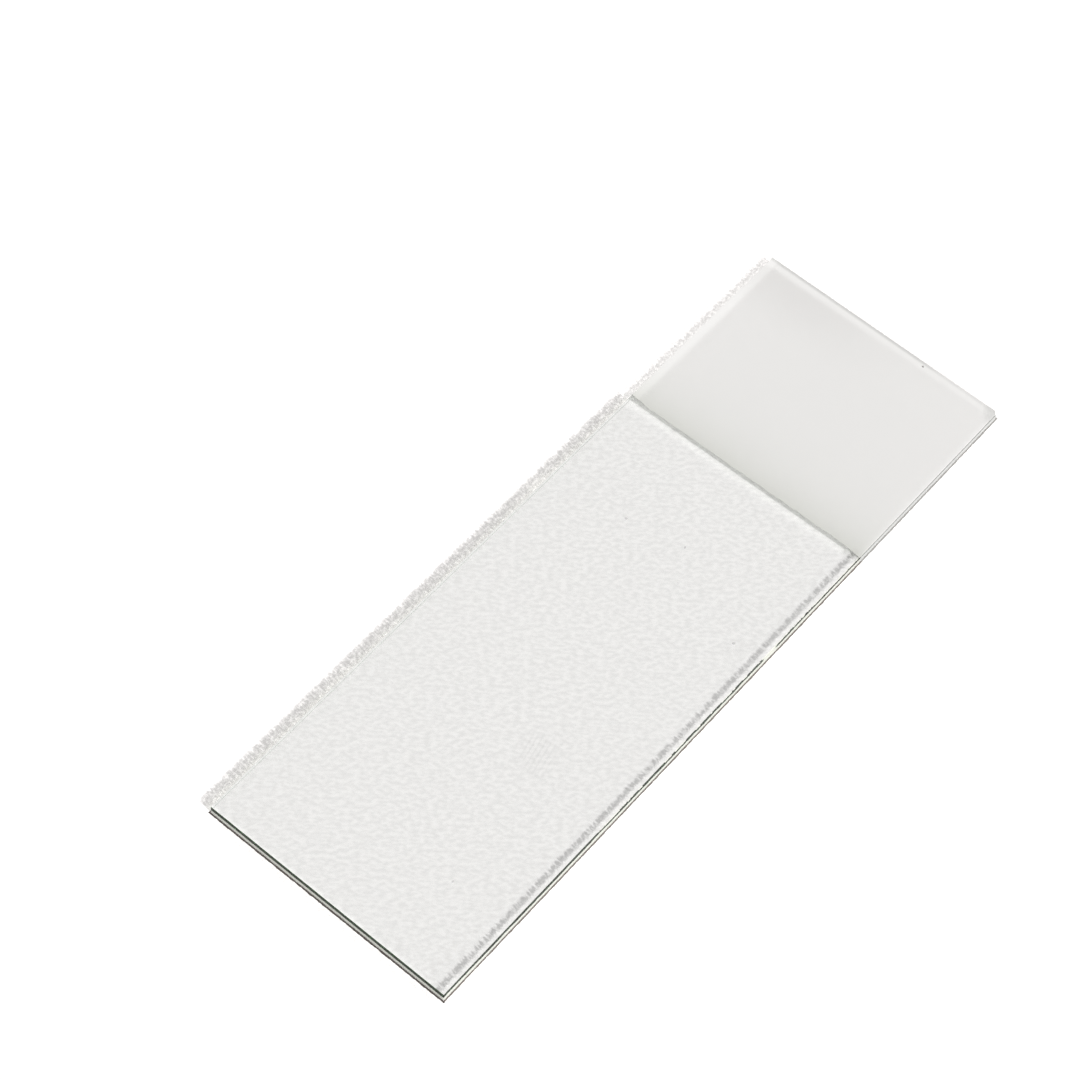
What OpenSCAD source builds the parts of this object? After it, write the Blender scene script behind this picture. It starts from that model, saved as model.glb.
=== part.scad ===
// Microscope slide: one plate of clear glass with cut edges and square corners,
// ground matt on the top face at one end, where a label is written in pencil.
// The length runs along X with the frosted end at +X, and the slide lies on z = 0,
// centred on the origin. Sizes are in millimetres.

/* [Slide] */
// Length of the slide
slide_l = 76; // [50:0.5:100]
// Width of the slide
slide_w = 26; // [18:0.5:52]
// Thickness of the glass
slide_t = 1; // [0.8:0.05:3]

/* [Frosted end] */
// Length of the frosted area, measured in from the end of the slide
frost_l = 20.5; // [5:0.5:40]
// How far the ground surface lies below the polished top face
frost_depth = 0.02; // [0.01:0.01:0.1]

/* [Edges] */
// Width of the fine bevel that takes the sharpness off every cut edge
arris = 0.05; // [0.02:0.01:0.3]

/* [Hidden] */
// How far a cut runs on past the faces that it opens
overrun = 1;
glass_tint = [0.85, 0.92, 0.89];
frost_tint = [0.91, 0.92, 0.90];

// A rectangle about the origin with its four corners bevelled
module bevelled_rectangle(x_size, y_size, bevel) {
    x = x_size / 2;
    y = y_size / 2;
    polygon([
        [x - bevel, -y], [x, -y + bevel],
        [x, y - bevel], [x - bevel, y],
        [-x + bevel, y], [-x, y - bevel],
        [-x, -y + bevel], [-x + bevel, -y]
    ]);
}

// The cut plate before it is frosted: its plan, its side view and its end view,
// each bevelled and carried right through, meet in a plate with all twelve edges bevelled
module cut_plate() {
    intersection() {
        linear_extrude(slide_t)
            bevelled_rectangle(slide_l, slide_w, arris);
        translate([0, slide_w / 2, slide_t / 2])
            rotate([90, 0, 0])
                linear_extrude(slide_w)
                    bevelled_rectangle(slide_l, slide_t, arris);
        translate([-slide_l / 2, 0, slide_t / 2])
            rotate([90, 0, 90])
                linear_extrude(slide_l)
                    bevelled_rectangle(slide_w, slide_t, arris);
    }
}

// What the grinding takes off the top face at the frosted end
module ground_layer() {
    translate([slide_l / 2 - frost_l, -slide_w / 2 - overrun, slide_t - frost_depth])
        cube([frost_l + overrun, slide_w + 2 * overrun, frost_depth + overrun]);
}

module slide() {
    difference() {
        color(glass_tint) cut_plate();
        color(frost_tint) ground_layer();
    }
}

slide();
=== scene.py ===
import math

import bmesh
import bpy
from bpy.props import FloatProperty, FloatVectorProperty, IntProperty, PointerProperty
from mathutils import Matrix, Vector, noise


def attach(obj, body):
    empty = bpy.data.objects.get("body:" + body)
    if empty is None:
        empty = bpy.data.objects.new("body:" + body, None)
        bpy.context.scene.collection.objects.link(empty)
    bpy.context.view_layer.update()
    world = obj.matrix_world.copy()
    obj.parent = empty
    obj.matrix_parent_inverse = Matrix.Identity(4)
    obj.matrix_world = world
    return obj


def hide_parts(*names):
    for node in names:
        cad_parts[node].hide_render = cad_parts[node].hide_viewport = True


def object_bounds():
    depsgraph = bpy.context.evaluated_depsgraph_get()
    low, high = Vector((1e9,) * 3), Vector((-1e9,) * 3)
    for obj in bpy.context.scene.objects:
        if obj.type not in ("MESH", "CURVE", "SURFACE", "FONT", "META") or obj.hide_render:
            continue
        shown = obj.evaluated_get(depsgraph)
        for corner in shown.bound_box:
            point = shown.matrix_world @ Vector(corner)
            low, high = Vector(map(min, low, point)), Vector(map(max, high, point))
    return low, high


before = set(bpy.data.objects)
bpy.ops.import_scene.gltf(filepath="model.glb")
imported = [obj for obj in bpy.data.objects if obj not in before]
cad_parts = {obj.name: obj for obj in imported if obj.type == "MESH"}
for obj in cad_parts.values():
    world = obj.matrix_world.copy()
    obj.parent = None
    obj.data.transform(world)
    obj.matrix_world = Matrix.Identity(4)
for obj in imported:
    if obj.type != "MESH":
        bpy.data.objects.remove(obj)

bl_info = {
    "name": "Microscope Slide",
    "version": (1, 0, 0),
    "blender": (4, 5, 0),
    "location": "3D View > Sidebar > Slide",
    "description": "Builds a frosted-end glass slide around its CAD plate, and a studio to see it in",
    "category": "Add Mesh",
}

MM = 0.001
CAD_NODE = "slide"
BODY = "root"

# The finish of each face of the plate, kept in the mesh attribute of this name
FINISH = "finish"
POLISHED, GROUND, CUT = 0.0, 1.0, 2.0
# How far each point may be worn, and the way that wear moves it
WEAR, INWARD = "wear", "inward"

# Dust on the top face: x, y and radius in millimetres, and how dark it is
DUST = (
    (8.1, -0.8, 0.10, 0.38), (4.9, -2.7, 0.10, 0.22), (3.4, -10.1, 0.14, 0.42),
    (-29.8, -6.8, 0.10, 0.32), (7.0, 5.0, 0.11, 0.38), (37.5, -4.9, 0.10, 0.75))
# A fingerprint on the top face: its centre, half its length, and how far it is turned
PRINT_CENTRE = (-16.0 * MM, -4.2 * MM)
PRINT_REACH = 3.0 * MM
PRINT_TURN = math.radians(13)

# Places along X on the cut faces: where the dark lip grows thin, the middle of its dashes, and its break
LIP_DEEP_BEFORE, LIP_THIN_AFTER = -24.0 * MM, -16.0 * MM
DASHES_AT = -2.5 * MM
BREAK_AT = 4.8 * MM

# The direction and the length to width of the fibres in the ground as they show through the glass
FIBRE_TURN = math.radians(-52)
FIBRE_STRETCH = 1.7

# What lies on the glass
WHITE = (1.0, 1.0, 1.0, 1.0)
PRINT_TINT = (0.90, 0.90, 0.90, 1.0)
DUST_TINT = (0.12, 0.11, 0.10, 1.0)
# The ground end: painted shade along the line where it begins, along its outer edge and at its far end, the
# core of its cut faces, and the painted shadow line at their foot
FROST_LINE_SHADE = (0.35, 0.37, 0.33, 1.0)
FROST_EDGE_TINT = (0.70, 0.70, 0.68, 1.0)
FROST_FAR_TINT = (0.90, 0.885, 0.87, 1.0)
FROST_CORE_TINT = (0.88, 0.88, 0.86, 1.0)
FROST_FOOT_SHADOW = (0.43, 0.42, 0.405, 1.0)
# What the floor sends back as plain diffuse light
BOUNCE_GREY = (0.8, 0.8, 0.8, 1.0)

# Two heights or places this near count as the same
HAIR = 1e-9
# Points of the mesh this near are welded into one, as where two bevels of one width meet at a corner
WELD = 0.001 * MM
# How wide the step from the polished face down to the ground one is
FROST_RAMP = 0.03 * MM
# Where the middle row of a bevel lies, as a share of its width: at 0.5 it would be flat
BEVEL_MIDDLE = 0.3

CAD_LOW, CAD_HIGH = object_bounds()
THICKNESS = CAD_HIGH.z - CAD_LOW.z


# ---------------------------------------------------------------- sizes from the frame

def plate_levels():
    """Reads where the ground area begins along X, and the height of its surface, off the CAD plate."""
    points = [v.co.copy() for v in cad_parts[CAD_NODE].data.vertices]
    margin = 0.001 * MM
    top = max(p.z for p in points)
    frost_start = max(p.x for p in points if p.z > top - margin)
    ground = max(p.z for p in points if p.x > frost_start + margin)
    return frost_start, ground


# ---------------------------------------------------------------- settings

class SlidePlateSettings(bpy.types.PropertyGroup):
    """Sizes and colours of the glass plate."""
    bevel: FloatProperty(
        name="Edge bevel", description="Width of the fine rounded bevel on every cut edge",
        default=0.05 * MM, min=0.01 * MM, max=0.3 * MM, unit="LENGTH")
    fine_bevel: FloatProperty(
        name="Fine bevel", description="Width of the bevel along the underside and along the far long edge",
        default=0.02 * MM, min=0.01 * MM, max=0.3 * MM, unit="LENGTH")
    edge_step: FloatProperty(
        name="Edge step", description="Distance between the points along the cut edges",
        default=0.25 * MM, min=0.1 * MM, max=2 * MM, unit="LENGTH")
    frost_ragged: FloatProperty(
        name="Frost line raggedness", description="How far the frost line wanders from straight",
        default=0.06 * MM, min=0.0, max=0.5 * MM, unit="LENGTH")
    frost_skew: FloatProperty(
        name="Frost line skew", description="How far out of square the frost line runs from side to side",
        default=0.4 * MM, min=-1 * MM, max=1 * MM, unit="LENGTH")
    chip_depth: FloatProperty(
        name="Chip depth", description="Deepest chip along the cut edges",
        default=0.03 * MM, min=0.0, max=0.5 * MM, unit="LENGTH")
    chip_size: FloatProperty(
        name="Chip size", description="Usual distance from one chip to the next",
        default=2.0 * MM, min=0.1 * MM, max=20 * MM, unit="LENGTH")
    nick: FloatProperty(
        name="Corner nick", description="Size of the nick in one corner of the ground end",
        default=0.25 * MM, min=0.0, max=2 * MM, unit="LENGTH")
    seed: IntProperty(
        name="Seed", description="Changes where the chips fall", default=3, min=0, max=99)
    refraction: FloatProperty(
        name="Refractive index", description="Refractive index of soda-lime glass",
        default=1.52, min=1.4, max=1.7)
    glass_colour: FloatVectorProperty(
        name="Glass colour", description="What the glass lets through over the colour depth",
        default=(0.64, 0.77, 0.70), min=0.0, max=1.0, size=3, subtype="COLOR")
    colour_depth: FloatProperty(
        name="Colour depth", description="The thickness of glass that shows the glass colour",
        default=20 * MM, min=1 * MM, max=200 * MM, unit="LENGTH")
    # The lip colours are painted shade: the dark green a glass edge shows from the light lost inside the
    # plate, laid on the smooth top band of the cut faces
    lip_shade_colour: FloatVectorProperty(
        name="Lip colour", description="Colour of the smooth band along the top of the cut faces",
        default=(0.012, 0.016, 0.010), min=0.0, max=1.0, size=3, subtype="COLOR")
    plain_end_lip_shade: FloatVectorProperty(
        name="Plain end lip colour", description="Colour of the smooth band at the end that isn't ground",
        default=(0.006, 0.018, 0.004), min=0.0, max=1.0, size=3, subtype="COLOR")
    lip_height: FloatProperty(
        name="Lip height", description="Share of the thickness that the smooth band takes up",
        default=0.36, min=0.0, max=1.0, subtype="FACTOR")
    core_colour: FloatVectorProperty(
        name="Core colour", description="Colour of the rough middle of the cut faces",
        default=(0.95, 0.95, 0.86), min=0.0, max=1.0, size=3, subtype="COLOR")
    # The foot colour is painted shade: the contact shadow along the foot of the cut faces, where the plate
    # meets the ground
    foot_shade_colour: FloatVectorProperty(
        name="Foot colour", description="Colour of the dust along the foot of the cut faces",
        default=(0.05, 0.035, 0.033), min=0.0, max=1.0, size=3, subtype="COLOR")
    foot_shade_height: FloatProperty(
        name="Foot height", description="Share of the thickness that the dusty foot takes up",
        default=0.055, min=0.0, max=1.0, subtype="FACTOR")
    frost_colour: FloatVectorProperty(
        name="Frost colour", description="Colour of the ground area at the end of the slide",
        default=(0.970, 0.957, 0.942), min=0.0, max=1.0, size=3, subtype="COLOR")
    # The frost shade is painted shade where the ground area begins
    frost_shade: FloatVectorProperty(
        name="Frost shade", description="Colour of the ground area where it begins",
        default=(0.80, 0.80, 0.755), min=0.0, max=1.0, size=3, subtype="COLOR")
    frost_whiteness: FloatProperty(
        name="Frost whiteness", description="Share of the light that the ground surface sends straight back",
        default=0.79, min=0.0, max=0.9, subtype="FACTOR")
    frost_roughness: FloatProperty(
        name="Frost roughness", description="How far the ground surface spreads the light",
        default=0.65, min=0.1, max=1.0, subtype="FACTOR")


class SlideStageSettings(bpy.types.PropertyGroup):
    """The floor, the lights and the camera."""
    floor_colour: FloatVectorProperty(
        name="Floor colour", description="Colour of the white ground",
        default=(0.991, 0.991, 0.991), min=0.0, max=1.0, size=3, subtype="COLOR")
    floor_glare: FloatVectorProperty(
        name="Floor glare", description="How much brighter the ground looks to the lens than its colour",
        default=(1.12, 1.09, 1.08), min=1.0, max=2.0, size=3)
    floor_grain: FloatProperty(
        name="Floor grain",
        description="How much brighter the brightest grains of the ground are than the rest",
        default=0.30, min=0.0, max=1.0)
    card_colour: FloatVectorProperty(
        name="Card colour", description="Colour of the ground as it looks through the glass",
        default=(0.99, 0.96, 0.955), min=0.0, max=1.0, size=3, subtype="COLOR")
    floor_size: FloatProperty(
        name="Floor size", description="Side of the square floor",
        default=6.0, min=0.5, max=50.0, unit="LENGTH")
    floor_gap: FloatProperty(
        name="Floor gap", description="The film of air under a dry slide",
        default=0.02 * MM, min=0.0, max=1 * MM, unit="LENGTH")
    # The foot line is a painted contact shadow on the ground round the slide
    foot_shadow_line: FloatProperty(
        name="Foot line", description="Width of the dark line where the slide meets the ground",
        default=0.135 * MM, min=0.0, max=1 * MM, unit="LENGTH")
    foot_shadow_colour: FloatVectorProperty(
        name="Foot line colour", description="Colour of the line where the slide meets the ground",
        default=(0.25, 0.218, 0.203), min=0.0, max=1.0, size=3, subtype="COLOR")
    sky: FloatProperty(
        name="Sky", description="Strength of the even light from all round", default=0.59, min=0.0, max=2.0)
    mirrored: FloatProperty(
        name="Mirrored studio",
        description="Strength of the sky and the ground as they mirror in the glass",
        default=0.35, min=0.0, max=1.0)
    key: FloatProperty(
        name="Key light", description="What the key light adds to a white floor",
        default=0.41, min=0.0, max=2.0)
    key_angle: FloatProperty(
        name="Key light angle", description="How wide the key light looks from the slide",
        default=math.radians(3), subtype="ANGLE")
    key_azimuth: FloatProperty(
        name="Key light azimuth", description="Direction to the key light, counted from +X to +Y",
        default=math.radians(-95), subtype="ANGLE")
    key_elevation: FloatProperty(
        name="Key light elevation", description="Height of the key light above the horizon",
        default=math.radians(32), subtype="ANGLE")
    camera_distance: FloatProperty(
        name="Camera distance", description="From the lens to the point it looks at",
        default=301.0 * MM, min=50 * MM, max=5.0, unit="LENGTH")
    camera_heading: FloatProperty(
        name="Camera heading", description="Way the camera looks over the floor, counted from +X to +Y",
        default=math.radians(37.5), subtype="ANGLE")
    camera_tilt: FloatProperty(
        name="Camera tilt", description="How steeply the camera looks down",
        default=math.radians(58.6), subtype="ANGLE")
    camera_roll: FloatProperty(
        name="Camera roll", description="Turn of the camera about its own axis",
        default=math.radians(3.4), subtype="ANGLE")
    camera_aim: FloatVectorProperty(
        name="Camera aim", description="Point of the top face that the camera looks at, from the centre",
        default=(0.24 * MM, 9.26 * MM), size=2, unit="LENGTH")
    lens: FloatProperty(
        name="Lens", description="Focal length on a 36 mm wide frame", default=114.0, min=10.0, max=400.0)


# ---------------------------------------------------------------- node helpers

class Tree:
    """A short way to add nodes to a tree and link them as they are made."""

    def __init__(self, tree):
        self.tree = tree
        self.tree.nodes.clear()

    def add(self, kind, inputs=None, **settings):
        """Adds a node, sets its properties, then sets or links each named or numbered input."""
        node = self.tree.nodes.new(kind)
        for name, value in settings.items():
            setattr(node, name, value)
        for key, value in (inputs or {}).items():
            self.put(node.inputs[key], value)
        return node

    def put(self, socket, value):
        """Links an output to a socket, or sets the socket's own value."""
        if isinstance(value, bpy.types.NodeSocket):
            self.tree.links.new(value, socket)
        else:
            socket.default_value = value

    def math(self, operation, a, b=0.0, clamp=False):
        node = self.add("ShaderNodeMath", {0: a, 1: b}, operation=operation, use_clamp=clamp)
        return node.outputs[0]

    def plus(self, a, b):
        return self.math("ADD", a, b)

    def minus(self, a, b, clamp=False):
        return self.math("SUBTRACT", a, b, clamp)

    def times(self, a, b):
        return self.math("MULTIPLY", a, b)

    def most(self, a, b):
        return self.math("MAXIMUM", a, b)

    def least(self, a, b):
        return self.math("MINIMUM", a, b)

    def over(self, a, b):
        """1 where a is more than b, and 0 elsewhere."""
        return self.math("GREATER_THAN", a, b)

    def under(self, a, b):
        """1 where a is less than b, and 0 elsewhere."""
        return self.math("LESS_THAN", a, b)

    def size_of(self, a):
        return self.math("ABSOLUTE", a)

    def fading(self, value, length):
        """1 where the value is 0 or less, then less and less over this length."""
        return self.math("EXPONENT", self.math("DIVIDE", value, -length), clamp=True)

    def span(self, value, low, high, to_low=0.0, to_high=1.0):
        """Maps a value smoothly from one span to another."""
        node = self.add(
            "ShaderNodeMapRange",
            {"Value": value, "From Min": low, "From Max": high, "To Min": to_low, "To Max": to_high},
            interpolation_type="SMOOTHSTEP")
        return node.outputs["Result"]

    def blend(self, factor, a, b):
        """Mixes two colours."""
        node = self.add("ShaderNodeMix", {"Factor": factor}, data_type="RGBA")
        self.put(node.inputs[6], a)
        self.put(node.inputs[7], b)
        return node.outputs[2]

    def mix(self, factor, a, b):
        """Mixes two numbers."""
        node = self.add("ShaderNodeMix", {"Factor": factor}, data_type="FLOAT")
        self.put(node.inputs[2], a)
        self.put(node.inputs[3], b)
        return node.outputs[0]

    def grain(self, at, size, detail=2.0, roughness=0.5):
        """Noise between 0 and 1 with features of this size."""
        node = self.add(
            "ShaderNodeTexNoise",
            {"Vector": at, "Scale": 1.0 / size, "Detail": detail, "Roughness": roughness})
        return node.outputs["Fac"]


def opaque(colour):
    return (*colour, 1.0)


# ---------------------------------------------------------------- the glass

def dust_mask(tree, place):
    """Where dust lies on the top face, and how dark it is there."""
    ragged = tree.grain(place, 0.12 * MM, detail=2.0)
    mask = 0.0
    for x, y, radius, dark in DUST:
        spot = (x * MM, y * MM, CAD_HIGH.z)
        away = tree.add("ShaderNodeVectorMath", {0: place, 1: spot}, operation="DISTANCE")
        inside = tree.under(away.outputs["Value"], tree.times(ragged, 2.0 * radius * MM))
        mask = tree.most(mask, tree.times(inside, dark))
    return mask


def print_mask(tree, place):
    """A faint fingerprint: ridges that run nearly along the slide, inside a soft oval."""
    at = tree.add(
        "ShaderNodeMapping",
        {"Vector": place, "Location": (*PRINT_CENTRE, 0.0), "Rotation": (0, 0, PRINT_TURN)},
        vector_type="TEXTURE")
    away = tree.add("ShaderNodeVectorMath", {0: at.outputs[0]}, operation="LENGTH").outputs["Value"]
    wander = tree.times(tree.grain(place, 2.0 * MM), 0.6 * PRINT_REACH)
    oval = tree.span(tree.plus(away, wander), 1.2 * PRINT_REACH, 0.7 * PRINT_REACH)
    # A wave at a scale of 1 repeats each 0.314 of a metre
    ridge_gap = 0.42 * MM
    ridges = tree.add(
        "ShaderNodeTexWave",
        {"Vector": at.outputs[0], "Scale": 0.314 / ridge_gap, "Distortion": 2.0, "Detail": 2.0,
         "Detail Scale": 0.5},
        bands_direction="Y").outputs["Fac"]
    return tree.times(oval, tree.span(ridges, 0.45, 0.9))


def edge_distances(tree, axis):
    """How far a point lies in from the short ends and from the long edges."""
    half = (CAD_HIGH - CAD_LOW) / 2
    along = tree.minus(half.x, tree.size_of(axis["X"]))
    across = tree.minus(half.y, tree.size_of(axis["Y"]))
    return along, across


def lip_smooth_and_shade_mask(tree, settings, place, axis, below, frosted):
    """Where the smooth lip of a cut face is, dark with painted shade. below is how far a point lies under
    the top face.

    Along the long edges the lip is deep near the plain end, thinner and dashed further on, and broken at
    one place. At the short ends it is deeper and whole.
    """
    along, _ = edge_distances(tree, axis)
    end = tree.under(along, 0.05 * THICKNESS)
    deep = tree.span(axis["X"], LIP_DEEP_BEFORE, LIP_THIN_AFTER, 1.15, 1.03)
    patches = tree.span(tree.grain(place, 2.0 * MM, detail=5.0, roughness=0.75), 0.38, 0.60, 0.85, 1.15)
    from_dashes = tree.size_of(tree.minus(axis["X"], DASHES_AT))
    dashes = tree.span(tree.grain(place, 1.1 * MM, detail=3.0, roughness=0.6), 0.48, 0.53)
    dashes = tree.times(dashes, tree.span(from_dashes, 15.0 * MM, 6.0 * MM, 0.1, 1.0))
    share = tree.plus(tree.times(deep, patches), tree.times(dashes, 0.3))
    share = tree.mix(end, tree.mix(frosted, share, 1.0), 1.35)
    reach = tree.times(share, settings.lip_height * THICKNESS)
    # Where it is thin it starts below the bevel, apart from the dashes
    above_top = -0.12 * MM
    start = tree.span(axis["X"], LIP_DEEP_BEFORE, LIP_THIN_AFTER, above_top, 0.04 * MM)
    start = tree.mix(tree.most(end, dashes), start, above_top)
    reach = tree.plus(reach, tree.most(start, 0.0))
    lip = tree.span(tree.minus(below, reach), 0.03 * THICKNESS, -0.03 * THICKNESS)
    lip = tree.times(lip, tree.over(below, start))
    whole = tree.span(tree.size_of(tree.minus(axis["X"], BREAK_AT)), 0.7 * MM, 1.2 * MM)
    lip = tree.times(lip, tree.most(whole, end))
    # The ground end lights its own lip from above, so the painted shade is weaker there
    lip = tree.times(lip, tree.mix(frosted, 1.0, 0.33))
    # It stops below the bevel of the far long edge
    far_side = tree.over(axis["Y"], CAD_HIGH.y - 1.1 * settings.fine_bevel)
    on_bevel = tree.over(axis["Z"], CAD_HIGH.z - 1.1 * settings.fine_bevel)
    return tree.times(lip, tree.minus(1.0, tree.times(far_side, on_bevel)))


def cut_face(tree, settings, place, axis, past):
    """The colour of a cut face and how rough it is there: a smooth lip dark with painted shade, a rough
    core, and a foot dark with a painted contact shadow.
    """
    hackle = tree.grain(place, 0.15 * MM, detail=3.0)
    height = tree.plus(axis["Z"], tree.times(tree.minus(hackle, 0.5), 0.12 * THICKNESS))
    frosted = tree.over(past, 0.0)
    lip = lip_smooth_and_shade_mask(tree, settings, place, axis, tree.minus(CAD_HIGH.z, height), frosted)
    # The foot is a painted contact shadow along the bottom of the cut face
    foot_shade_top = settings.foot_shade_height * THICKNESS
    foot = tree.span(height, 1.15 * foot_shade_top, 0.85 * foot_shade_top)
    # Lip and foot show only from outside the glass
    outside = tree.minus(1.0, tree.add("ShaderNodeNewGeometry").outputs["Backfacing"])
    lip = tree.times(lip, outside)
    foot = tree.times(foot, outside)
    core = tree.blend(frosted, opaque(settings.core_colour), FROST_CORE_TINT)
    plain_end = tree.under(axis["X"], CAD_LOW.x + 0.05 * THICKNESS)
    # The lip colour is painted shade on the smooth band at the top of the cut face
    painted_lip_shade = tree.blend(plain_end, opaque(settings.lip_shade_colour), opaque(settings.plain_end_lip_shade))
    tint = tree.blend(lip, core, painted_lip_shade)
    tint = tree.blend(foot, tint, opaque(settings.foot_shade_colour))
    return tint, tree.minus(1.0, lip), hackle


def past_frost_line(tree, settings, axis, frost_start):
    """How far a point lies past the line where the ground area begins."""
    skew = settings.frost_skew / (CAD_HIGH.y - CAD_LOW.y)
    return tree.minus(axis["X"], tree.minus(frost_start, tree.times(axis["Y"], skew)))


def frost_rim(tree, along, across, lit_side):
    """Where light gathers in the ground end: a pale rim a little way in from its cut edges."""
    inside = tree.least(along, tree.plus(across, tree.times(lit_side, 0.55 * MM)))
    rim = tree.times(tree.span(inside, 0.2 * MM, 0.45 * MM), tree.span(inside, 1.1 * MM, 0.6 * MM))
    far_rim = tree.times(tree.span(across, 1.1 * MM, 0.5 * MM), tree.minus(1.0, lit_side))
    return tree.most(rim, tree.times(far_rim, 1.9))


def ground_face(tree, settings, axis, past):
    """The colour of the ground end, and how white it is."""
    # Painted shade: it is darker and greener where it begins, with a painted dark line at its very edge
    shaded = tree.fading(past, 2.3 * MM)
    tint = tree.blend(shaded, opaque(settings.frost_colour), opaque(settings.frost_shade))
    edge_line_shade = tree.fading(past, 0.28 * MM)
    tint = tree.blend(tree.times(edge_line_shade, 0.1), tint, FROST_LINE_SHADE)
    # A grey line of painted shade runs outside the pale rim, and the corner on the lit side is greyer
    along, across = edge_distances(tree, axis)
    lit_side = tree.under(axis["Y"], 0.0)
    grey = tree.span(along, 0.45 * MM, 0.10 * MM, 0.0, 0.75)
    grey = tree.times(grey, tree.span(axis["Y"], -7.0 * MM, -4.0 * MM, 0.35, 1.0))
    greyer_corner = tree.span(tree.plus(along, across), 2.2 * MM, 0.8 * MM)
    grey = tree.most(grey, tree.times(greyer_corner, tree.times(lit_side, 0.6)))
    tint = tree.blend(grey, tint, FROST_EDGE_TINT)
    # A faint shade lies inside the rim at the far end, on the side away from the key light
    shade = tree.times(tree.span(along, 0.8 * MM, 1.3 * MM), tree.span(along, 7.0 * MM, 1.5 * MM))
    shade = tree.times(shade, tree.span(axis["Y"], -0.5 * CAD_HIGH.y, 0.8 * CAD_HIGH.y))
    tint = tree.blend(shade, tint, FROST_FAR_TINT)
    rim = frost_rim(tree, along, across, lit_side)
    return tint, tree.plus(settings.frost_whiteness, tree.times(rim, 0.09))


def edge_shadow(tree, axis, streak, frosted):
    """How much of a light beyond the plate passes a cut face.

    The middle of the face traps light that would come in by it, and all but its top traps what would leave.
    The ground end lets less in by its cut faces, and throws a narrower shadow.
    """
    inward_ray = tree.add("ShaderNodeNewGeometry").outputs["Backfacing"]
    high = tree.plus(axis["Z"], tree.times(tree.minus(streak, 0.5), 0.5 * THICKNESS))
    stray = tree.times(tree.span(streak, 0.49, 0.56), 0.55)
    shut_in = tree.times(
        tree.span(high, 0.28 * THICKNESS, 0.41 * THICKNESS),
        tree.span(high, 0.75 * THICKNESS, 0.59 * THICKNESS))
    open_in = tree.span(axis["Z"], 0.35 * THICKNESS, 0.70 * THICKNESS, 1.08, 0.90)
    edge_in = tree.mix(frosted, tree.mix(shut_in, open_in, stray), 0.15)
    shut_out = tree.span(high, 1.14 * THICKNESS, 0.70 * THICKNESS)
    edge_out = tree.mix(shut_out, 1.0, tree.times(stray, 0.4))
    narrow = tree.span(high, 0.70 * THICKNESS, 0.48 * THICKNESS, 1.0, 0.15)
    edge_out = tree.mix(frosted, edge_out, narrow)
    return tree.mix(inward_ray, edge_out, edge_in)


def shadow_colour(tree, place, axis, cut, past):
    """How much of a light beyond the plate passes through this point of it."""
    along, across = edge_distances(tree, axis)
    stretched = tree.add("ShaderNodeMapping", {"Vector": place, "Scale": (1.0, 0.4, 0.4)}).outputs[0]
    streak = tree.grain(stretched, 0.15 * MM, detail=2.0)
    edge = edge_shadow(tree, axis, streak, tree.over(past, 0.0))
    # What the inside of a short end mirrors down adds to the light beside it
    lit_side = tree.under(axis["Y"], 0.0)
    rim = tree.span(along, 0.2 * THICKNESS, 0.5 * THICKNESS, 1.25, 0.89)
    uneven = tree.times(tree.minus(streak, 0.5), tree.span(across, 1.8 * MM, 1.2 * MM))
    rim = tree.plus(rim, tree.times(uneven, 0.6))
    # So does what the ground surface throws back, just before the line where it begins
    rim = tree.plus(rim, tree.span(past, -1.2 * MM, -0.4 * MM, 0.0, 0.4))
    # The top face alone weakens the light, because a ray crosses the underside too
    at_top = tree.over(axis["Z"], 0.5 * THICKNESS)
    clear = tree.mix(at_top, 1.0, rim)
    beside = tree.mix(lit_side, tree.span(across, 1.8 * MM, 1.4 * MM, 0.1, 0.85), 0.1)
    beside = tree.plus(beside, tree.span(past, 0.4 * MM, 0.1 * MM, 0.0, 0.45))
    beyond = tree.times(tree.over(past, -0.2 * MM), at_top)
    clear = tree.mix(beyond, clear, beside)
    return tree.mix(cut, clear, edge)


def glass_volume(tree, settings):
    """The weak green absorption that gives the settings' colour over their depth of glass."""
    colour = settings.glass_colour
    weakest = min(colour)
    density = -math.log(weakest) / settings.colour_depth
    tint_ratio = [1.0 - math.log(c) / math.log(weakest) for c in colour]
    return tree.add("ShaderNodeVolumeAbsorption", {"Color": opaque(tint_ratio), "Density": density})


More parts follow.
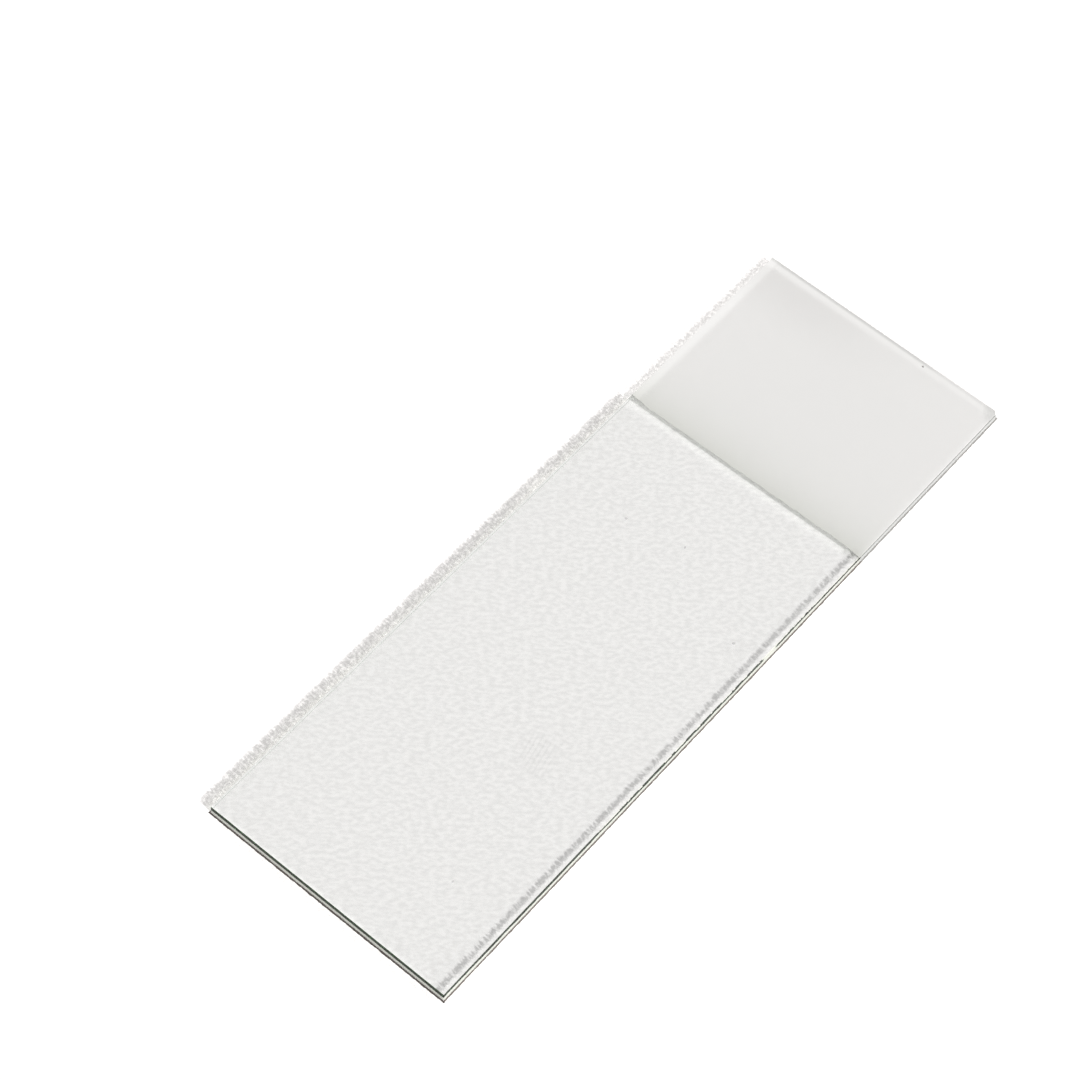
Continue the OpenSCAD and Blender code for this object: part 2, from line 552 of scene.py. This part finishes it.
def glass_material(settings, frost_start):
    """Soda-lime glass with three finishes: polished, ground matt and cut."""
    material = bpy.data.materials.new("slide_glass")
    material.use_nodes = True
    tree = Tree(material.node_tree)

    place = tree.add("ShaderNodeTexCoord").outputs["Object"]
    axis = tree.add("ShaderNodeSeparateXYZ", {0: place}).outputs
    finish = tree.add("ShaderNodeAttribute", attribute_name=FINISH).outputs["Fac"]
    cut = tree.minus(finish, GROUND, clamp=True)
    ground = tree.minus(1.0, tree.size_of(tree.minus(finish, GROUND)), clamp=True)
    outside = tree.minus(1.0, tree.add("ShaderNodeNewGeometry").outputs["Backfacing"])

    past = past_frost_line(tree, settings, axis, frost_start)
    frost_tint, whiteness = ground_face(tree, settings, axis, past)
    edge_tint, scored, hackle = cut_face(tree, settings, place, axis, past)
    scored = tree.times(cut, scored)
    dust = dust_mask(tree, place)
    ridges = tree.times(print_mask(tree, place), tree.over(axis["Z"], 0.9 * CAD_HIGH.z))

    tint = tree.blend(ground, tree.blend(ridges, WHITE, PRINT_TINT), frost_tint)
    tint = tree.blend(cut, tint, edge_tint)
    tint = tree.blend(dust, tint, DUST_TINT)

    frost_grain = tree.grain(place, 0.06 * MM, detail=2.0)
    frost_rough = tree.plus(settings.frost_roughness - 0.05, tree.times(frost_grain, 0.1))
    rough = tree.mix(ground, tree.times(ridges, 0.08), frost_rough)
    rough = tree.mix(cut, rough, 0.08)
    rough = tree.mix(scored, rough, tree.mix(outside, 0.1, 0.6))
    dull = tree.times(scored, tree.mix(outside, 0.0, 0.65))
    dull = tree.plus(dull, tree.times(ground, whiteness))
    transmission = tree.minus(tree.minus(1.0, dull), dust, clamp=True)

    height = tree.mix(cut, tree.times(ground, frost_grain), tree.times(hackle, outside))
    bump = tree.add("ShaderNodeBump", {"Height": height, "Strength": 0.35, "Distance": 0.01 * MM})

    body = tree.add("ShaderNodeBsdfPrincipled", {
        "Base Color": tint, "Roughness": rough, "IOR": settings.refraction,
        "Transmission Weight": transmission, "Normal": bump.outputs["Normal"]})

    # A shadow ray meets plain clear glass, so that the ground under the slide is lit
    shade = shadow_colour(tree, place, axis, cut, past)
    through = tree.add("ShaderNodeBsdfTransparent", {"Color": shade})
    ray = tree.add("ShaderNodeLightPath").outputs["Is Shadow Ray"]
    surface = tree.add("ShaderNodeMixShader", {0: ray, 1: body.outputs[0], 2: through.outputs[0]})
    volume = glass_volume(tree, settings)
    tree.add("ShaderNodeOutputMaterial", {"Surface": surface.outputs[0], "Volume": volume.outputs[0]})
    return material


def side_stations(start, end, step):
    """Even points from start up to, but not with, end."""
    count = max(2, round((end - start).length / step))
    return [start.lerp(end, i / count) for i in range(count)]


def outline(settings, stops):
    """The plate's plan, anticlockwise, as pairs of a point and the way into the plate there.

    stops are the places along X where a station has to stand.
    """
    low, high, bevel = CAD_LOW, CAD_HIGH, settings.bevel
    plan = ((low.x, low.y), (high.x, low.y), (high.x, high.y), (low.x, high.y))
    corners = [Vector(place) for place in plan]
    stations = []
    for corner, after in zip(corners, corners[1:] + corners[:1]):
        along = (after - corner).normalized()
        inward = Vector((-along.y, along.x))
        marks = [corner + along * bevel]
        if abs(along.x) > 0.5:
            marks += [Vector((x, corner.y)) for x in (stops if along.x > 0 else reversed(stops))]
        marks.append(after - along * bevel)
        for a, b in zip(marks, marks[1:]):
            stations += [(point, inward) for point in side_stations(a, b, settings.edge_step)]
        stations.append((marks[-1], inward))
    return stations


def edge_rows(settings, top, width):
    """Inset, height and wear of each row of a cut face, from the underside's rim up to the top face's.

    top is the height of the top face there, and width is that of its bevel.
    """
    low, high = CAD_LOW.z, CAD_HIGH.z
    bevel, fine = settings.bevel, settings.fine_bevel
    rim = max(width - (high - top), 0.2 * width)
    return (
        (fine, low, 1.0),
        (fine * BEVEL_MIDDLE, low + fine * BEVEL_MIDDLE, 1.0),
        (0.0, low + fine, 1.0),
        (0.0, low + 1.6 * bevel, 0.6),
        (0.0, low + 0.35 * THICKNESS, 0.2),
        (0.0, low + 0.65 * THICKNESS, 0.2),
        (0.0, high - 1.6 * bevel, 0.6),
        (0.0, min(high - width, top - rim), 1.0),
        (rim * BEVEL_MIDDLE, top - rim * BEVEL_MIDDLE, 1.0),
        (rim, top, 1.0))


def edge_columns(mesh, settings, stations, frost_start, ground_z):
    """The points of the cut faces: at each station, a column from the underside up to the top face."""
    wear = mesh.verts.layers.float[WEAR]
    inward_layer = mesh.verts.layers.float_vector[INWARD]
    nicked_corner = Vector((CAD_HIGH.x, CAD_LOW.y))
    columns = []
    for point, inward in stations:
        top = CAD_HIGH.z if point.x <= frost_start + HAIR else ground_z
        width = settings.fine_bevel if inward.y < -0.5 else settings.bevel
        nick = 0.5 * max(0.0, settings.nick - (point - nicked_corner).length)
        column = []
        for inset, z, worn in edge_rows(settings, top, width):
            broken = nick if z > CAD_LOW.z + 0.5 * THICKNESS else 0.0
            x = point.x + inward.x * inset - broken
            y = point.y + inward.y * inset + broken
            vert = mesh.verts.new((x, y, z))
            vert[wear] = worn
            vert[inward_layer] = (inward.x, inward.y, 0.0)
            column.append(vert)
        columns.append(column)
    return columns


def add_face(mesh, corners, kind):
    face = mesh.faces.new(corners)
    face[mesh.faces.layers.float[FINISH]] = kind
    # One kind of shading all round, because the colour inside the glass needs it
    face.smooth = True


def add_cut_faces(mesh, columns):
    """The cut faces, row by row between each column and the next, and then the underside."""
    rows = len(columns[0])
    for a, b in zip(columns, columns[1:] + columns[:1]):
        over_ground = max(a[-1].co.z, b[-1].co.z) < CAD_HIGH.z - HAIR
        for row in range(rows - 1):
            on_bevel = row >= rows - 3
            kind = GROUND if over_ground and on_bevel else CUT
            add_face(mesh, (a[row], b[row], b[row + 1], a[row + 1]), kind)
    add_face(mesh, [column[0] for column in reversed(columns)], POLISHED)


def station_at(stations, x, side):
    """The number of the station at x, on the long edge at -Y where side is 1, or at +Y where it is -1."""
    for i, (point, inward) in enumerate(stations):
        if side * inward.y > 0.5 and abs(point.x - x) < HAIR:
            return i
    raise ValueError("No station stands where the ground area begins")


def add_top_faces(mesh, settings, stations, columns, frost_start, ground_z):
    """The polished top face and the ground one, and the ragged step between them."""
    rims = [column[-1] for column in columns]
    near = station_at(stations, frost_start, 1)
    far = station_at(stations, frost_start, -1)
    width = CAD_HIGH.y - CAD_LOW.y
    steps = max(2, round(width / settings.edge_step))
    # The step's two lines run from one long edge to the other
    upper, lower = [rims[near]], [rims[near + 1]]
    for i in range(1, steps):
        t = i / steps
        y = rims[near].co.y * (1 - t) + rims[far].co.y * t
        # Skew and raggedness die out over the last twelfth at each side
        fade = min(1.0, 12 * t, 12 * (1 - t))
        jag = settings.frost_ragged * fade * noise.fractal(Vector((y / MM, 7.0, 0.0)) * 2.2, 0.7, 2.0, 4)
        lean = -settings.frost_skew * y / width * fade
        upper.append(mesh.verts.new((frost_start + lean + jag, y, CAD_HIGH.z)))
        lower.append(mesh.verts.new((frost_start + FROST_RAMP + lean + jag, y, ground_z)))
    upper.append(rims[far])
    lower.append(rims[far - 1])
    for i in range(steps):
        add_face(mesh, (upper[i], lower[i], lower[i + 1], upper[i + 1]), GROUND)
    add_face(mesh, rims[far:] + rims[:near + 1] + upper[1:-1], POLISHED)
    add_face(mesh, rims[near + 1:far] + lower[-2:0:-1], GROUND)


def plate_mesh(settings):
    """The plate with its bevels, its cut faces in rows, and the step down to the ground area."""
    frost_start, ground_z = plate_levels()
    stations = outline(settings, (frost_start, frost_start + FROST_RAMP))
    mesh = bmesh.new()
    mesh.faces.layers.float.new(FINISH)
    mesh.verts.layers.float.new(WEAR)
    mesh.verts.layers.float_vector.new(INWARD)
    columns = edge_columns(mesh, settings, stations, frost_start, ground_z)
    add_cut_faces(mesh, columns)
    add_top_faces(mesh, settings, stations, columns, frost_start, ground_z)
    bmesh.ops.remove_doubles(mesh, verts=mesh.verts, dist=WELD)
    bmesh.ops.recalc_face_normals(mesh, faces=mesh.faces)
    for edge in mesh.edges:
        flat = any(abs(face.normal.z) > 0.99 for face in edge.link_faces)
        edge.smooth = not (flat and edge.calc_face_angle() > math.radians(5))
    data = bpy.data.meshes.new("slide_glass")
    mesh.to_mesh(data)
    mesh.free()
    return data


def wear_nodes():
    """A node tree that chips the cut edges: it moves each point into the plate where the noise is strong."""
    group = bpy.data.node_groups.new("edge_wear", "GeometryNodeTree")
    kinds = {
        "Geometry": "NodeSocketGeometry", "Chip Depth": "NodeSocketFloat", "Chip Size": "NodeSocketFloat",
        "Seed": "NodeSocketInt", "Glass": "NodeSocketMaterial"}
    sockets = {}
    for name, kind in kinds.items():
        socket = group.interface.new_socket(name, in_out="INPUT", socket_type=kind)
        sockets[name] = socket.identifier
    group.interface.new_socket("Geometry", in_out="OUTPUT", socket_type="NodeSocketGeometry")
    tree = Tree(group)
    given = tree.add("NodeGroupInput").outputs
    place = tree.add("GeometryNodeInputPosition").outputs[0]
    scale = tree.math("DIVIDE", 1.0, given["Chip Size"])
    pattern = tree.add(
        "ShaderNodeTexNoise",
        {"Vector": place, "W": given["Seed"], "Scale": scale, "Detail": 4.0, "Roughness": 0.65},
        noise_dimensions="4D")
    chipped = tree.span(pattern.outputs["Fac"], 0.52, 0.78)
    worn = tree.add("GeometryNodeInputNamedAttribute", {"Name": WEAR}, data_type="FLOAT")
    inward = tree.add("GeometryNodeInputNamedAttribute", {"Name": INWARD}, data_type="FLOAT_VECTOR")
    depth = tree.times(tree.times(chipped, worn.outputs[0]), given["Chip Depth"])
    offset = tree.add("ShaderNodeVectorMath", {0: inward.outputs[0], "Scale": depth}, operation="SCALE")
    moved = tree.add(
        "GeometryNodeSetPosition", {"Geometry": given["Geometry"], "Offset": offset.outputs[0]})
    real = tree.add("GeometryNodeRealizeInstances", {0: moved.outputs[0]})
    shown = tree.add(
        "GeometryNodeSetMaterial", {"Geometry": real.outputs[0], "Material": given["Glass"]})
    tree.add("NodeGroupOutput", {0: shown.outputs[0]})
    return group, sockets


def apply_modifiers(obj):
    """Works the modifiers of obj into its mesh."""
    bpy.context.view_layer.update()
    depsgraph = bpy.context.evaluated_depsgraph_get()
    mesh = bpy.data.meshes.new_from_object(obj.evaluated_get(depsgraph), depsgraph=depsgraph)
    obj.modifiers.clear()
    obj.data = mesh


class SLIDE_OT_plate(bpy.types.Operator):
    """Build the glass plate around the CAD plate, with its ground end and its cut edges"""
    bl_idname = "slide.plate"
    bl_label = "Glass plate"

    def execute(self, context):
        settings = context.scene.slide_plate
        frost_start, _ = plate_levels()
        glass = glass_material(settings, frost_start)
        plate = bpy.data.objects.new("slide_glass", plate_mesh(settings))
        context.scene.collection.objects.link(plate)
        group, sockets = wear_nodes()
        modifier = plate.modifiers.new("edge_wear", "NODES")
        modifier.node_group = group
        modifier[sockets["Chip Depth"]] = settings.chip_depth
        modifier[sockets["Chip Size"]] = settings.chip_size
        modifier[sockets["Seed"]] = settings.seed
        modifier[sockets["Glass"]] = glass
        apply_modifiers(plate)
        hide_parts(CAD_NODE)
        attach(plate, BODY)
        return {"FINISHED"}


# ---------------------------------------------------------------- the stage

def foot_shadow_line(tree, settings, place, axis):
    """Where the painted contact shadow on the ground round the slide's foot runs, and its colour there."""
    along, across = edge_distances(tree, axis)
    off = tree.times(tree.least(along, across), -1.0)
    # The line is darker and wider at the plain end, and greyer and paler at the ground end
    plain_end = tree.under(axis["X"], CAD_LOW.x)
    ground_end = tree.over(axis["X"], 0.47 * CAD_HIGH.x)
    ragged = tree.plus(tree.grain(place, 0.5 * MM, detail=4.0), 0.5)
    ragged = tree.times(ragged, tree.mix(plain_end, settings.foot_shadow_line, 1.25 * settings.foot_shadow_line))
    line = tree.times(tree.over(off, 0.0), tree.under(off, ragged))
    darker = opaque(0.45 * c for c in settings.foot_shadow_colour)
    colour = tree.blend(plain_end, opaque(settings.foot_shadow_colour), darker)
    return line, tree.blend(ground_end, colour, FROST_FOOT_SHADOW)


def floor_material(settings):
    """White ground that looks white to the lens and through glass, and bounces light like white card."""
    material = bpy.data.materials.new("floor_white")
    material.use_nodes = True
    tree = Tree(material.node_tree)
    place = tree.add("ShaderNodeTexCoord").outputs["Object"]
    axis = tree.add("ShaderNodeSeparateXYZ", {0: place}).outputs
    path = tree.add("ShaderNodeLightPath").outputs
    seen = tree.most(path["Is Glossy Ray"], path["Is Transmission Ray"])
    only_mirrored = tree.over(path["Is Glossy Ray"], path["Is Transmission Ray"])
    laid = tree.add(
        "ShaderNodeMapping",
        {"Vector": place, "Rotation": (0, 0, FIBRE_TURN), "Scale": (FIBRE_STRETCH, 1.0, 1.0)},
        vector_type="TEXTURE")
    fibre = tree.span(tree.grain(laid.outputs[0], 0.34 * MM, detail=1.0), 0.25, 0.75)
    dark_card = opaque(0.90 * c for c in settings.card_colour)
    pale_card = opaque(1.02 * c for c in settings.card_colour)
    mirrored = opaque(settings.mirrored * c for c in settings.card_colour)
    card = tree.blend(only_mirrored, tree.blend(fibre, dark_card, pale_card), mirrored)
    colour = tree.blend(seen, BOUNCE_GREY, card)
    # The ground is brightly lit, so that its grains show only in a shadow
    dim = [glare * c for glare, c in zip(settings.floor_glare, settings.floor_colour)]
    bright = [(1.0 + settings.floor_grain) * c for c in dim]
    grains = tree.span(tree.grain(place, 0.3 * MM, detail=2.0), 0.42, 0.68)
    # A painted contact shadow runs round the slide's foot
    line, line_colour = foot_shadow_line(tree, settings, place, axis)
    grained = tree.blend(line, tree.blend(grains, opaque(dim), opaque(bright)), line_colour)
    colour = tree.blend(path["Is Camera Ray"], colour, grained)
    surface = tree.add("ShaderNodeBsdfDiffuse", {"Color": colour})
    tree.add("ShaderNodeOutputMaterial", {"Surface": surface.outputs[0]})
    return material


def add_floor(settings):
    half = settings.floor_size / 2
    z = CAD_LOW.z - settings.floor_gap
    data = bpy.data.meshes.new("floor")
    corners = [(-half, -half, z), (half, -half, z), (half, half, z), (-half, half, z)]
    data.from_pydata(corners, [], [(0, 1, 2, 3)])
    data.materials.append(floor_material(settings))
    floor = bpy.data.objects.new("floor", data)
    bpy.context.scene.collection.objects.link(floor)


def add_sky(settings):
    """Even light from all round, white wherever the lens sees it."""
    world = bpy.data.worlds.new("studio")
    world.use_nodes = True
    tree = Tree(world.node_tree)
    path = tree.add("ShaderNodeLightPath").outputs
    first = tree.minus(1.0, tree.least(path["Diffuse Depth"], 1.0))
    through = tree.times(path["Is Transmission Ray"], first)
    only_mirrored = tree.over(path["Is Glossy Ray"], path["Is Transmission Ray"])
    mirrored = tree.times(only_mirrored, first)
    strength = tree.mix(tree.most(through, path["Is Camera Ray"]), settings.sky, 1.0)
    strength = tree.mix(mirrored, strength, settings.mirrored)
    light = tree.add("ShaderNodeBackground", {"Color": WHITE, "Strength": strength})
    tree.add("ShaderNodeOutputWorld", {"Surface": light.outputs[0]})
    # The even light reaches everything by the rays that leave it, through the glass too
    world.cycles.sampling_method = "NONE"
    bpy.context.scene.world = world


def direction(heading, rise):
    return Vector((math.cos(heading) * math.cos(rise), math.sin(heading) * math.cos(rise), math.sin(rise)))


def add_key(settings):
    """One soft light that gives the slide its narrow shadows."""
    data = bpy.data.lights.new("key", "SUN")
    data.angle = settings.key_angle
    # A lower light spreads thinner over the floor
    data.energy = settings.key * math.pi / math.sin(settings.key_elevation)
    toward = direction(settings.key_azimuth, settings.key_elevation)
    lamp = bpy.data.objects.new("key", data)
    lamp.rotation_euler = toward.to_track_quat("Z", "Y").to_euler()
    # The light itself doesn't show through the glass
    lamp.visible_transmission = False
    bpy.context.scene.collection.objects.link(lamp)


def add_camera(settings):
    data = bpy.data.cameras.new("camera")
    data.sensor_width = 36.0
    data.lens = settings.lens
    data.clip_start = 10 * MM
    data.clip_end = 20.0
    look = direction(settings.camera_heading, -settings.camera_tilt)
    aim = Vector((*settings.camera_aim, CAD_HIGH.z))
    turn = look.to_track_quat("-Z", "Y").to_matrix() @ Matrix.Rotation(settings.camera_roll, 3, "Z")
    camera = bpy.data.objects.new("camera", data)
    camera.matrix_world = Matrix.Translation(aim - look * settings.camera_distance) @ turn.to_4x4()
    bpy.context.scene.collection.objects.link(camera)
    bpy.context.scene.camera = camera


class SLIDE_OT_stage(bpy.types.Operator):
    """Set up the white floor, the lights and the camera"""
    bl_idname = "slide.stage"
    bl_label = "Stage"

    def execute(self, context):
        settings = context.scene.slide_stage
        add_floor(settings)
        add_sky(settings)
        add_key(settings)
        add_camera(settings)
        scene = context.scene
        scene.view_settings.view_transform = "Standard"
        # Light runs the whole length of the plate by bouncing between its faces
        scene.cycles.max_bounces = 96
        scene.cycles.glossy_bounces = 96
        scene.cycles.transmission_bounces = 16
        # The glass stays clear to light that comes back up from the floor
        scene.cycles.blur_glossy = 0.0
        # A stray bright path leaves no speck
        scene.cycles.sample_clamp_indirect = 2.0
        # The denoiser leaves the fine grain of the ground alone
        scene.cycles.denoising_prefilter = "NONE"
        return {"FINISHED"}


# ---------------------------------------------------------------- panel and registration

class SLIDE_PT_panel(bpy.types.Panel):
    """Lists the slide's pieces and their settings"""
    bl_idname = "SLIDE_PT_panel"
    bl_label = "Microscope slide"
    bl_space_type = "VIEW_3D"
    bl_region_type = "UI"
    bl_category = "Slide"

    def draw(self, context):
        for operator, settings in (
                (SLIDE_OT_plate, context.scene.slide_plate), (SLIDE_OT_stage, context.scene.slide_stage)):
            box = self.layout.box()
            box.operator(operator.bl_idname)
            for name in settings.__annotations__:
                box.prop(settings, name)


CLASSES = (SlidePlateSettings, SlideStageSettings, SLIDE_OT_plate, SLIDE_OT_stage, SLIDE_PT_panel)


def register():
    for cls in CLASSES:
        bpy.utils.register_class(cls)
    bpy.types.Scene.slide_plate = PointerProperty(type=SlidePlateSettings)
    bpy.types.Scene.slide_stage = PointerProperty(type=SlideStageSettings)


def unregister():
    del bpy.types.Scene.slide_stage
    del bpy.types.Scene.slide_plate
    for cls in reversed(CLASSES):
        bpy.utils.unregister_class(cls)


def main():
    register()
    bpy.ops.slide.stage()
    bpy.ops.slide.plate()


if __name__ == "__main__":
    main()
